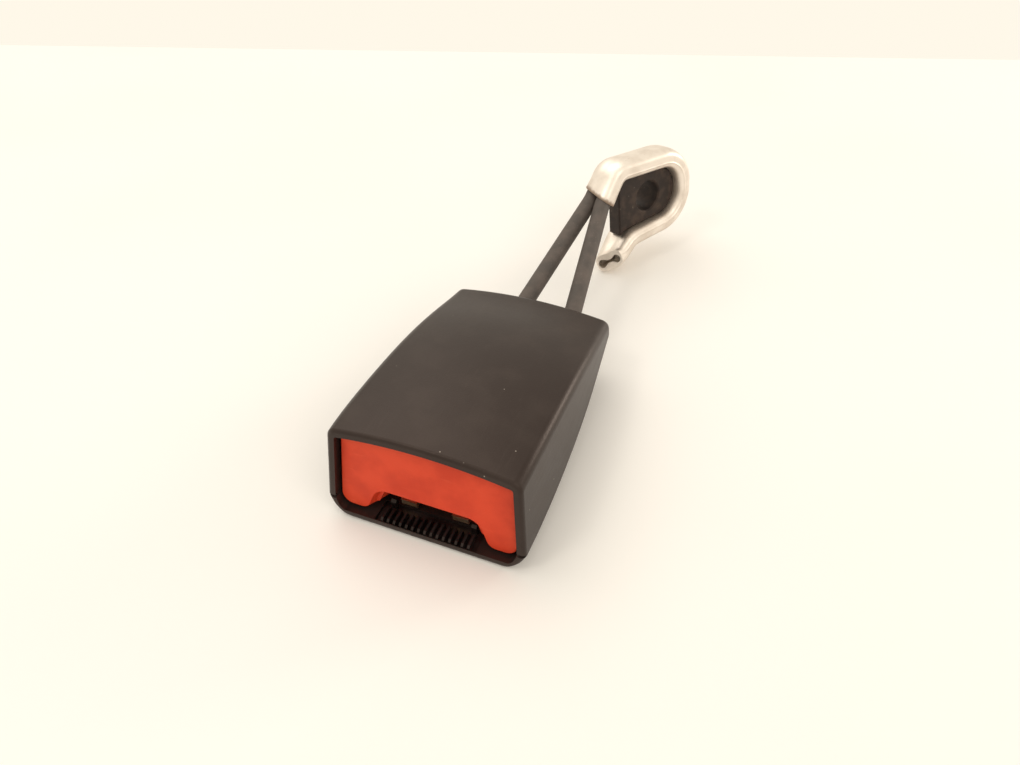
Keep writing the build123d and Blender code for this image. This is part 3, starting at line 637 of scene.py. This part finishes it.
def sleeveInside(bore, neck):
    # two round holes side by side, joined by a neck
    turn = np.linspace(0, 2 * np.pi, sleeve["points"], endpoint=False)
    angle = np.arctan2(sleeve["thick"] * np.sin(turn), sleeve["half"] * np.cos(turn))
    apart = sleeve["boreSpacing"]
    inside = bore ** 2 - (apart * np.sin(angle)) ** 2
    hole = np.where(inside > 0, apart * np.abs(np.cos(angle)) + np.sqrt(np.clip(inside, 0, None)), 0)
    slot = np.minimum(neck / np.maximum(np.abs(np.sin(angle)), 1e-6), apart)
    size = np.maximum(hole, slot)
    return size * np.cos(angle), size * np.sin(angle)


def makeSleeve():
    line = roundedPath(anchor["loop"], anchor["radii"], arcSteps=sleeve["arcSteps"])
    steps = np.linalg.norm(np.diff(line, axis=0), axis=1)
    along = np.concatenate([[0], np.cumsum(steps)])
    length = along[-1]
    heading = np.gradient(line, axis=0)
    heading[0], heading[-1] = line[1] - line[0], line[-1] - line[-2]
    heading /= np.linalg.norm(heading, axis=1)[:, None]

    def ring(where, section, slanted=True):
        # the section stands across the path at a distance along it, its ends pushed out of square
        x, y = section
        inside = min(max(where, 0), length)
        middle = np.array([np.interp(inside, along, line[:, axis]) for axis in (0, 1)])
        ahead = np.array([np.interp(inside, along, heading[:, axis]) for axis in (0, 1)])
        ahead /= np.linalg.norm(ahead)
        across = np.array([-ahead[1], ahead[0]])
        reach = sleeve["slantReach"]
        push = sleeve["tailSlant"] * float(smooth(reach, 0, where - sleeve["tailBack"]))
        push += sleeve["mouthSlant"] * float(smooth(-reach, 0, where - length - sleeve["mouthOut"]))
        beyond = where - inside + (push * x if slanted else 0)
        flat = middle + across * y[:, None] + ahead * np.broadcast_to(beyond, y.shape)[:, None]
        return bendTail(inAnchor(flat, x - anchor["plate"] / 2))

    start, end, lip = sleeve["tailBack"], length + sleeve["mouthOut"], sleeve["lip"]
    between = along[(along > start + sleeve["tailClear"]) & (along < length - sleeve["mouthClear"])]
    stops = np.concatenate([[start + lip], between, [length, end - lip]])
    flare, reach = sleeve["mouthFlare"], sleeve["flareReach"]
    rings = [ring(where, sleeveOutside(where, length, flare * float(smooth(-reach, 0, where - end))))
             for where in stops]
    lipTurns = np.linspace(0, np.pi / 2, sleeve["lipSteps"])
    for turn in lipTurns[1:]:
        inset = lip * (1 - math.cos(turn))
        rings.append(ring(end - lip + lip * math.sin(turn), sleeveOutside(end, length, flare, inset)))
    rings.append(ring(end, sleeveInside(sleeve["mouthBell"], sleeve["bellNeck"])))
    rings.append(ring(end - sleeve["innerDeep"], sleeveInside(sleeve["innerBell"], sleeve["innerNeck"])))
    narrow = sleeveInside(sleeve["bore"], sleeve["neck"])
    for section in (sleeveInside(sleeve["mouthBore"], sleeve["mouthNeck"]), narrow):
        rings.append(ring(length - sleeve["mouthStep"], section, slanted=False))
    rings += [ring(where, narrow) for where in stops[-3:2:-1]]  # and the pinched rings take over at the tail
    for past, share in sleeve["pinchSteps"]:
        pinch = sleeve["pinch"] * share
        rings.append(ring(start + past, sleeveInside(sleeve["bore"] - pinch, sleeve["neck"] - pinch / 3)))
    for turn in lipTurns[:-1]:
        inset = lip * (1 - math.sin(turn))
        rings.append(ring(start + lip - lip * math.cos(turn), sleeveOutside(0, length, 0, inset)))
    return ringMesh(rings, joined=True)


def reshapeRope(spots):
    # the two cut ends are drawn back behind the sleeve's slanted end
    tail, elbow = (np.array(point) for point in anchor["loop"][:2])
    outward = (tail - elbow) / np.linalg.norm(tail - elbow)
    local = spots - np.array(anchor["origin"])
    x = local @ anchorN + anchor["plate"] / 2
    flat = np.stack([local @ anchorU, local @ anchorV], axis=1)
    past = (flat - tail) @ outward
    aside = np.abs((flat - tail) @ np.array([-outward[1], outward[0]]))
    limit = -(sleeve["tailBack"] + sleeve["tailSlant"] * x + sleeve["ropeSunk"])
    back = np.where((aside < sleeve["thick"]) & (past > limit), past - limit, 0)[:, None]
    return bendTail(spots - back * (outward[0] * anchorU + outward[1] * anchorV))


# Anchor plate: fills the loop, with a bolt hole and a collar behind it.

plate = {"corners": [(-15.3, 10.9), (-15.3, -12.4), (-12.2, -10.4), (14.1, -9.25), (14.1, 9.05)],
         "radii": [0.8, 0.6, 1.0, 8.7, 8.7], "chamfer": 0.5, "hole": 5.9, "holeChamfer": 0.5, "collar": 8.1,
         "collarLength": 5.0, "collarChamfer": 0.4, "boreChamfer": 0.3, "recess": 0.8, "points": 160}


def makePlate():
    outline = evenly(roundedPath(plate["corners"], plate["radii"], closed=True), plate["points"])
    step = np.roll(outline, -1, axis=0) - np.roll(outline, 1, axis=0)
    inward = np.stack([-step[:, 1], step[:, 0]], axis=1) / np.linalg.norm(step, axis=1)[:, None]
    turn = np.linspace(0, 2 * np.pi, plate["points"], endpoint=False)
    circle = np.stack([np.cos(turn), np.sin(turn)], axis=1)
    deep, cut, hole, collar = anchor["plate"], plate["chamfer"], plate["hole"], plate["collar"]
    far, front, holeCut = deep + plate["collarLength"], plate["recess"], plate["holeChamfer"]
    collarCut, boreCut = plate["collarChamfer"], plate["boreChamfer"]
    loops = [(outline + inward * cut, -front), (outline, -front - cut), (outline, -deep + cut),
             (outline + inward * cut, -deep), (circle * collar, -deep), (circle * collar, -far + collarCut),
             (circle * (collar - collarCut), -far), (circle * (hole + boreCut), -far),
             (circle * hole, -far + boreCut), (circle * hole, -front - holeCut),
             (circle * (hole + holeCut), -front)]
    mesh = ringMesh([inAnchor(flat, height) for flat, height in loops], apart=(3,))
    # flat rings close the front face, between the last loop and the first, and the back face
    work = bmesh.new()
    work.from_mesh(mesh)
    work.verts.ensure_lookup_table()
    size = plate["points"]
    for pair in ((len(loops) - 1, 0), (3, 4)):
        rims = [work.edges.get((work.verts[loop * size + spot], work.verts[loop * size + (spot + 1) % size]))
                for loop in pair for spot in range(size)]
        bmesh.ops.triangle_fill(work, use_beauty=True, edges=rims)
    bmesh.ops.recalc_face_normals(work, faces=work.faces)
    work.to_mesh(mesh)
    work.free()
    return mesh


plainNodes = {
    "tongue_guide": guideFinish, "release_yoke": platedFinish, "buckle_frame": platedFinish,
    "latch_plate": platedFinish, "latch_pin": pinFinish, "pin_clip": springFinish,
    "ejector": ejectorFinish, "ejector_seat": guideFinish, "cable_saddle": guideFinish,
    "saddle_rivet": pinFinish,
}
for node, finish in plainNodes.items():
    dress(node, finish)

smoothSkin("lower_cover", coverFinish, "lowerCover", reshape=reshapeCover)
smoothSkin("upper_cover", coverFinish, "upperCover", reshape=reshapeCover)
standFor("push_button", makeButton(), buttonFinish, "pushButton")
smoothSkin("wire_rope", ropeFinish, "wireRope", reshape=reshapeRope)
standFor("ferrule", makeSleeve(), aluminiumFinish, "ferruleSleeve")
standFor("anchor_plate", makePlate(), plateFinish, "anchorPlate")
smoothSkin("sheath_left", rubberFinish, "leftSheath")
smoothSkin("sheath_right", rubberFinish, "rightSheath")
print("pieces: skins and finishes on")


# Springs: wound wire, built in the place of each spring node.

buttonSpring = {"joint": "button_press", "travel": 5.0, "length": 18.097, "radius": 2.0, "wire": 0.7,
                "turns": 6, "tilted": False}
springs = {
    "ejectorSpring": {"node": "ejector_spring", "joint": "ejector_slide", "travel": 12.0,
                      "start": (0, 30.0, 5.2), "length": 20.0, "radius": 2.0, "wire": 0.8, "turns": 7,
                      "tilted": True},
    "leftButtonSpring": {**buttonSpring, "node": "button_spring_left", "start": (-21.7, 5.903, 9.0)},
    "rightButtonSpring": {**buttonSpring, "node": "button_spring_right", "start": (21.7, 5.903, 9.0)},
}
mechanism = {"tilt": 6.5, "start": (0, 8.0, 3.0), "pivot": (46.0, 12.0), "ringSteps": 26, "wireSides": 12,
             "closeTurns": 0.75, "closePitch": 0.8, "legStart": 1.0, "legEnd": 4.5}
tilt = math.radians(mechanism["tilt"])


def inMechanism(spots, tilted=True):
    # the frame's own plane climbs towards the rear by tilt
    x, along, up = np.moveaxis(np.asarray(spots, dtype=float), -1, 0)
    if not tilted:
        return np.stack([x, along, up], axis=-1)
    rearward = along * math.cos(tilt) - up * math.sin(tilt)
    upward = along * math.sin(tilt) + up * math.cos(tilt)
    return np.stack([x, rearward, upward], axis=-1) + np.array(mechanism["start"])


def makeSpring(plan):
    # centre line: a circle of radius carried along by a share of the length; its first and last
    # turns are wound close; round wire stands square to that line
    turns, wire = plan["turns"], plan["wire"]
    share = np.linspace(0, 1, turns * mechanism["ringSteps"] + 1)
    angle = 2 * np.pi * turns * share
    close, rise = mechanism["closeTurns"] / turns, mechanism["closePitch"] * wire / plan["length"]
    climb = np.interp(share, [0, close, 1 - close, 1], [0, rise, 1 - rise, 1])
    along = wire / 2 + (plan["length"] - wire) * climb
    line = np.stack([plan["radius"] * np.cos(angle), along, plan["radius"] * np.sin(angle)], axis=1)
    heading = np.gradient(line, axis=0)
    heading /= np.linalg.norm(heading, axis=1)[:, None]
    outward = np.stack([np.cos(angle), np.zeros_like(angle), np.sin(angle)], axis=1)
    beside = np.cross(heading, outward)
    turn = np.linspace(0, 2 * np.pi, mechanism["wireSides"], endpoint=False)[None, :, None]
    rings = line[:, None] + wire / 2 * (np.cos(turn) * outward[:, None] + np.sin(turn) * beside[:, None])
    rings = inMechanism(rings + np.array(plan["start"]), plan["tilted"])
    return ringMesh(rings, caps=(0, len(rings) - 1))


for name, plan in springs.items():
    piece = standFor(plan["node"], makeSpring(plan), springFinish, name,
                     sharpAngle=skin["springSharpAngle"])
    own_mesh(piece)

latchSpring = smoothSkin("latch_spring", springFinish, "latchSpring", rides=False)
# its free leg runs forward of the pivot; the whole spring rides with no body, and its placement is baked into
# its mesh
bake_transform(latchSpring)


# Table, camera and lights. The table's far edge crosses the picture between edgeLeft and edgeRight.

table = {"near": -1.9, "edgeLeft": 45, "edgeRight": 60, "edgeSpread": 0.6, "top": (0.955, 0.925, 0.865, 1),
         "drift": (0.94, 0.905, 0.84, 1), "cloud": {"size": 0.18, "detail": 2, "span": (0.35, 0.7)},
         "relief": {"size": 0.0012, "detail": 3, "strength": 0.15, "depth": 0.0001}, "roughness": 0.6}


def tableFinish():
    finish = Finish("tableTop")
    clouded = finish.layer(table["cloud"])[1]
    colour = finish.mix(clouded, table["top"], table["drift"])
    return finish.surface(Base_Color=colour, Roughness=table["roughness"],
                          Normal=finish.relief(table["relief"]))


def flatSheet(name, corners, finish):
    mesh = bpy.data.meshes.new(name)
    mesh.from_pydata([tuple(corner) for corner in corners], [], [(0, 1, 2, 3)])
    mesh.materials.append(finish)
    piece = bpy.data.objects.new(name, mesh)
    bpy.context.scene.collection.objects.link(piece)


view = {"lens": 27.0, "sensor": 36.0, "wide": 1020, "tall": 765, "clip": (0.005, 20),
        "place": (71.887, -107.241, 176.194), "right": (0.92855, 0.37083, -0.01688),
        "down": (0.23986, -0.63408, -0.73513), "ahead": (-0.28331, 0.67855, -0.67772)}
lens = bpy.data.cameras.new("camera")
lens.lens = view["lens"]
lens.sensor_width = view["sensor"]
lens.clip_start, lens.clip_end = view["clip"]
camera = bpy.data.objects.new("camera", lens)
bpy.context.scene.collection.objects.link(camera)
upward, backward = ([-part for part in view[name]] for name in ("down", "ahead"))
turn = Matrix([view["right"], upward, backward]).transposed()
camera.matrix_world = Matrix.Translation(mouthPoint + Vector(view["place"]) * mm) @ turn.to_4x4()
bpy.context.scene.camera = camera


def onTable(across, down):
    # where the line of sight through a point of the picture, in pixels, meets the table
    ray = Vector(view["right"]) * (across - view["wide"] / 2)
    ray += Vector(view["down"]) * (down - view["tall"] / 2)
    ray += Vector(view["ahead"]) * (view["wide"] * view["lens"] / view["sensor"])
    start = mouthPoint + Vector(view["place"]) * mm
    return start - ray * (start.z / ray.z)


left, right = onTable(0, table["edgeLeft"]), onTable(view["wide"], table["edgeRight"])
run = (right - left) * table["edgeSpread"]
near = Vector((0, table["near"], 0))
flatSheet("tableTop", [left - run, left - run + near, right + run + near, right + run], tableFinish())


def softBox(name, plan):
    lamp = bpy.data.lights.new(name, "AREA")
    lamp.shape = "RECTANGLE"
    lamp.size, lamp.size_y = plan["size"]
    lamp.energy = plan["power"]
    lamp.color = plan["colour"]
    holder = bpy.data.objects.new(name, lamp)
    bpy.context.scene.collection.objects.link(holder)
    facing = (Vector(plan["aim"]) - Vector(plan["place"])).to_track_quat("-Z", "Y")
    holder.matrix_world = Matrix.Translation(plan["place"]) @ facing.to_matrix().to_4x4()


# what the camera and mirrors see of the room, and the light that it gives
room = {"seen": {"Color": (1.0, 0.94, 0.815, 1), "Strength": 1.0},
        "given": {"Color": (1.0, 0.955, 0.89, 1), "Strength": 0.71}}
softBoxes = {
    "keyBox": {"place": (-0.55, 0.35, 1.1), "aim": (0, 0, 0), "size": (1.1, 1.1), "power": 5.2,
               "colour": (1.0, 0.95, 0.89)},
    "backBox": {"place": (0.72, 0.80, 0.30), "aim": (0, 0, 0), "size": (0.35, 0.3), "power": 2.6,
                "colour": (1.0, 0.92, 0.83)},
    "rimBox": {"place": (-0.45, -0.58, 1.0), "aim": (0, -0.09, 0), "size": (0.22, 0.22), "power": 1.3,
               "colour": (1.0, 0.95, 0.89)},
    "fillBox": {"place": (0.7, -0.5, 0.9), "aim": (0, 0, 0), "size": (0.8, 0.8), "power": 2.5,
                "colour": (1.0, 0.94, 0.87)},
}
for name, plan in softBoxes.items():
    softBox(name, plan)

world = bpy.data.worlds.new("studio")
world.use_nodes = True
sky = world.node_tree
sky.nodes.clear()
rays = sky.nodes.new("ShaderNodeLightPath")
seen = sky.nodes.new("ShaderNodeBackground")
given = sky.nodes.new("ShaderNodeBackground")
for background, light in ((seen, room["seen"]), (given, room["given"])):
    for socket, value in light.items():
        background.inputs[socket].default_value = value
either = sky.nodes.new("ShaderNodeMath")
also = sky.nodes.new("ShaderNodeMath")
either.operation = also.operation = "MAXIMUM"
blend = sky.nodes.new("ShaderNodeMixShader")
last = sky.nodes.new("ShaderNodeOutputWorld")
sky.links.new(rays.outputs["Is Camera Ray"], either.inputs[0])
sky.links.new(rays.outputs["Is Glossy Ray"], either.inputs[1])
sky.links.new(either.outputs[0], also.inputs[0])
sky.links.new(rays.outputs["Is Transmission Ray"], also.inputs[1])
sky.links.new(also.outputs[0], blend.inputs[0])
sky.links.new(given.outputs[0], blend.inputs[1])
sky.links.new(seen.outputs[0], blend.inputs[2])
sky.links.new(blend.outputs[0], last.inputs["Surface"])
bpy.context.scene.world = world
bpy.context.scene.view_settings.view_transform = "Standard"
print("studio: camera,", len(softBoxes), "soft boxes and a pale room")
